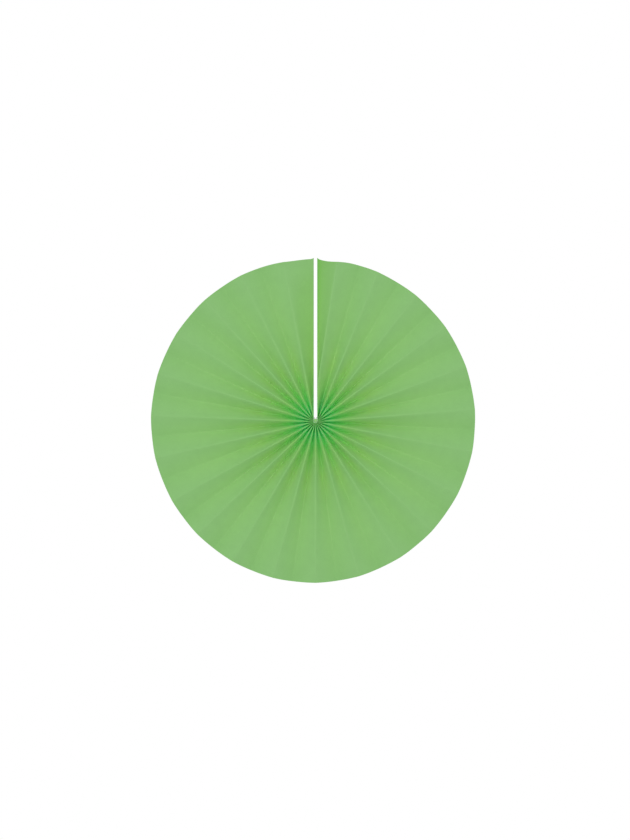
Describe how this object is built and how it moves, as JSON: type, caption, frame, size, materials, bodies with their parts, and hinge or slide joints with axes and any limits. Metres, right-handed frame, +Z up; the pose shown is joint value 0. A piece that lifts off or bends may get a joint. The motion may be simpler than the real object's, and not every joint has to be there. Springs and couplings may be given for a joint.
{
  "type": "paper fan rosette",
  "caption": "Round rosette of pleated green paper, fanned out to a full disc with a narrow open slit and gathered on a thread at its hub, hung up as a decoration.",
  "frame": {"origin": "centre of the hub, at mid-depth, where the folds converge on the binding thread", "axes": "+Z up along the slit, +X to the right seen from the front, the front ridges face -Y"},
  "size_m": [0.3995, 0.0209, 0.4],
  "materials": {
    "green_paper": "matt uncoated coloured paper",
    "thread": "twisted cotton thread"
  },
  "bodies": {
    "root": {"pleated_paper": "green_paper", "binding_thread": "thread"}
  },
  "joints": []
}
